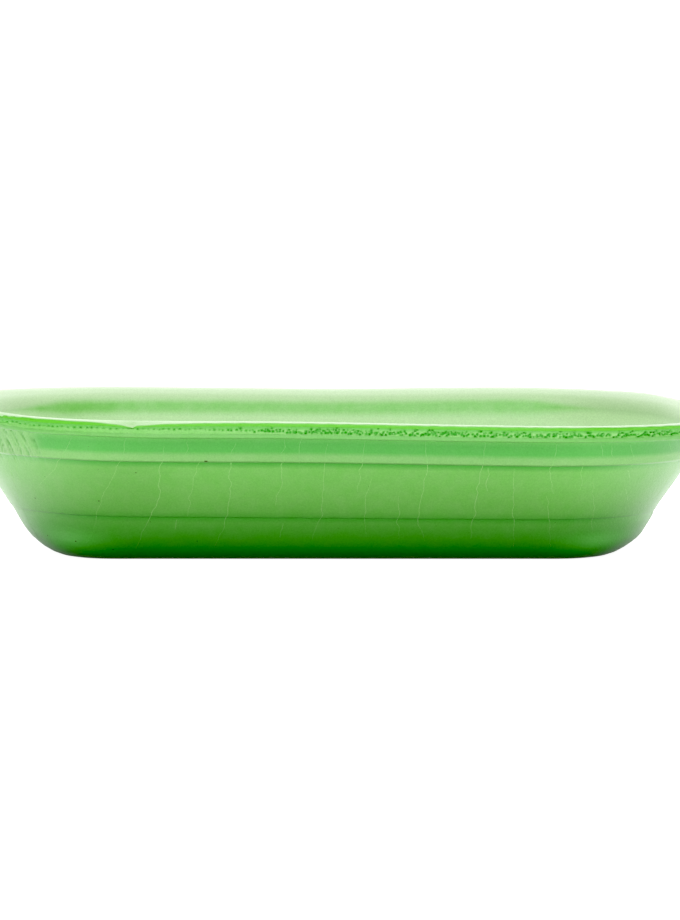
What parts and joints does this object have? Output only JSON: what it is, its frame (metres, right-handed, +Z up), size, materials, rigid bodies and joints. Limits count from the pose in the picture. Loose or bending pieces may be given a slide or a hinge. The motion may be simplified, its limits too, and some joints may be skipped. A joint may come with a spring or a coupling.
{
  "type": "foam food tray",
  "caption": "Rectangular thermoformed foam food tray with rounded corners, a flared rim, a stepped sloping wall and a raised floor panel.",
  "frame": {"origin": "middle of the tray's footprint, on the surface that it stands on", "axes": "+X along the long side, +Y along the short side, +Z up out of the tray's mouth"},
  "size_m": [0.225, 0.133, 0.0399],
  "materials": {
    "outer_skin": "matt foam skin with fine stretch lines",
    "foam_core": "torn foam cells at the die-cut edge",
    "inner_skin": "matt foam skin"
  },
  "bodies": {
    "root": {"outer_skin": "outer_skin", "foam_core": "foam_core", "inner_skin": "inner_skin"}
  },
  "joints": []
}
